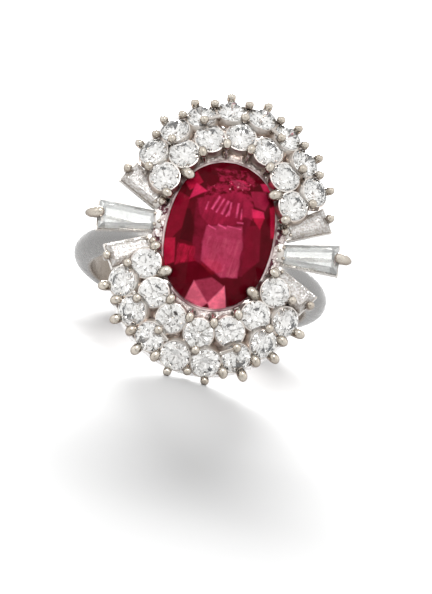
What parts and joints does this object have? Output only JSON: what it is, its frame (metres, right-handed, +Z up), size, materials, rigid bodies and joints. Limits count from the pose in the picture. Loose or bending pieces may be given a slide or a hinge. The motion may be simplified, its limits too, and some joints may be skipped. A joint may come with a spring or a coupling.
{
  "type": "cluster ring",
  "caption": "Finger ring with an oval red stone in four claws, two tiers of round clear stones over and under it, and a fan of tapered baguettes at each side.",
  "frame": {"origin": "the middle of the ring's box, on the surface that the ring lies on", "axes": "+Z up from the surface; -Y the way the head faces, a little upwards; +X across the finger; the ring lies on its side"},
  "size_m": [0.0202, 0.0255, 0.0204],
  "materials": {
    "white_gold": "polished white gold, slightly warm where it is worn",
    "ruby": "faceted and polished",
    "diamond": "faceted and polished"
  },
  "bodies": {
    "root": {"setting": "white_gold", "ruby": "ruby", "inner_diamond_01": "diamond", "inner_diamond_02": "diamond", "inner_diamond_03": "diamond", "inner_diamond_04": "diamond", "inner_diamond_05": "diamond", "inner_diamond_06": "diamond", "inner_diamond_07": "diamond", "inner_diamond_08": "diamond", "inner_diamond_09": "diamond", "inner_diamond_10": "diamond", "inner_diamond_11": "diamond", "inner_diamond_12": "diamond", "inner_diamond_13": "diamond", "inner_diamond_14": "diamond", "outer_diamond_01": "diamond", "outer_diamond_02": "diamond", "outer_diamond_03": "diamond", "outer_diamond_04": "diamond", "outer_diamond_05": "diamond", "outer_diamond_06": "diamond", "outer_diamond_07": "diamond", "outer_diamond_08": "diamond", "outer_diamond_09": "diamond", "outer_diamond_10": "diamond", "outer_diamond_11": "diamond", "outer_diamond_12": "diamond", "outer_diamond_13": "diamond", "outer_diamond_14": "diamond", "outer_diamond_15": "diamond", "outer_diamond_16": "diamond", "baguette_01": "diamond", "baguette_02": "diamond", "baguette_03": "diamond", "baguette_04": "diamond", "baguette_05": "diamond", "baguette_06": "diamond"}
  },
  "joints": []
}
